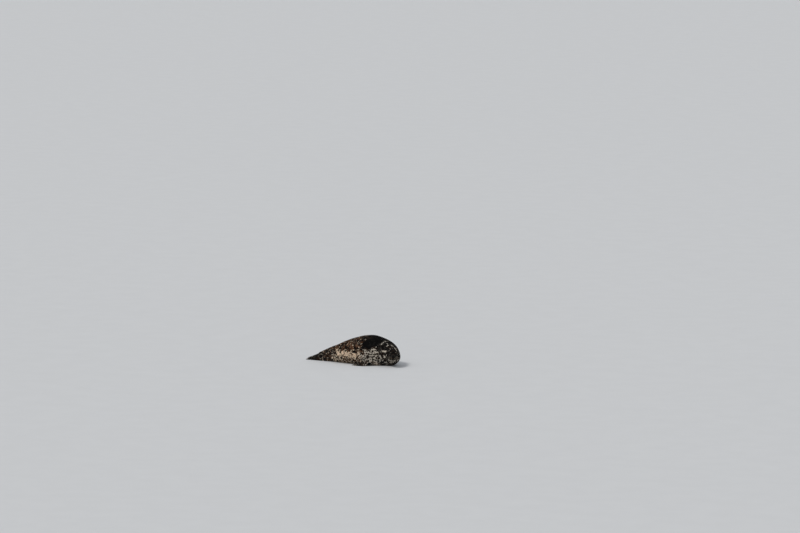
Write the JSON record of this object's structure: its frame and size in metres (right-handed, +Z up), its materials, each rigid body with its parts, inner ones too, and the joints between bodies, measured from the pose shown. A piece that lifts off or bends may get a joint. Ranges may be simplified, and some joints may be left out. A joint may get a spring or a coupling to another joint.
{
  "type": "still life-size model of a spotted seal",
  "caption": "Spotted seal lying on its belly, back humped, head turned to its right, fore flippers along its sides and hind flippers trailing behind.",
  "frame": {"origin": "middle of the footprint's bounding box, on the floor that the belly rests on", "axes": "+Z up, +X along the straight trunk towards the head end, so the turned head points towards -Y and the hind flippers towards -X"},
  "size_m": [1.4456, 0.5474, 0.3737],
  "materials": {
    "coat": "short spotted fur, silver-beige with dark spots and rings",
    "back": "short fur, nearly black with fine pale flecks",
    "face": "very short fur, dark with pale cheeks and rings",
    "muzzle": "very short pale fur with dark whisker spots",
    "flipper": "very short dark fur with pale streaks",
    "nose": "bare damp black skin",
    "eye": "wet, almost black",
    "claw": "dark horn"
  },
  "bodies": {
    "root": {"muzzle": "muzzle", "lower_jaw": "muzzle", "nose": "nose", "head": "face", "eye_left": "eye", "eye_right": "eye", "neck": "back", "shoulders": "back", "trunk": "coat", "hips": "coat", "tail": "back", "fore_flipper_left": "flipper", "fore_flipper_right": "flipper", "hind_flipper_left": "flipper", "hind_flipper_right": "flipper", "fore_claw_left_1": "claw", "fore_claw_left_2": "claw", "fore_claw_left_3": "claw", "fore_claw_left_4": "claw", "fore_claw_left_5": "claw", "fore_claw_right_1": "claw", "fore_claw_right_2": "claw", "fore_claw_right_3": "claw", "fore_claw_right_4": "claw", "fore_claw_right_5": "claw", "hind_claw_left_1": "claw", "hind_claw_left_2": "claw", "hind_claw_left_3": "claw", "hind_claw_left_4": "claw", "hind_claw_left_5": "claw", "hind_claw_right_1": "claw", "hind_claw_right_2": "claw", "hind_claw_right_3": "claw", "hind_claw_right_4": "claw", "hind_claw_right_5": "claw"}
  },
  "joints": []
}
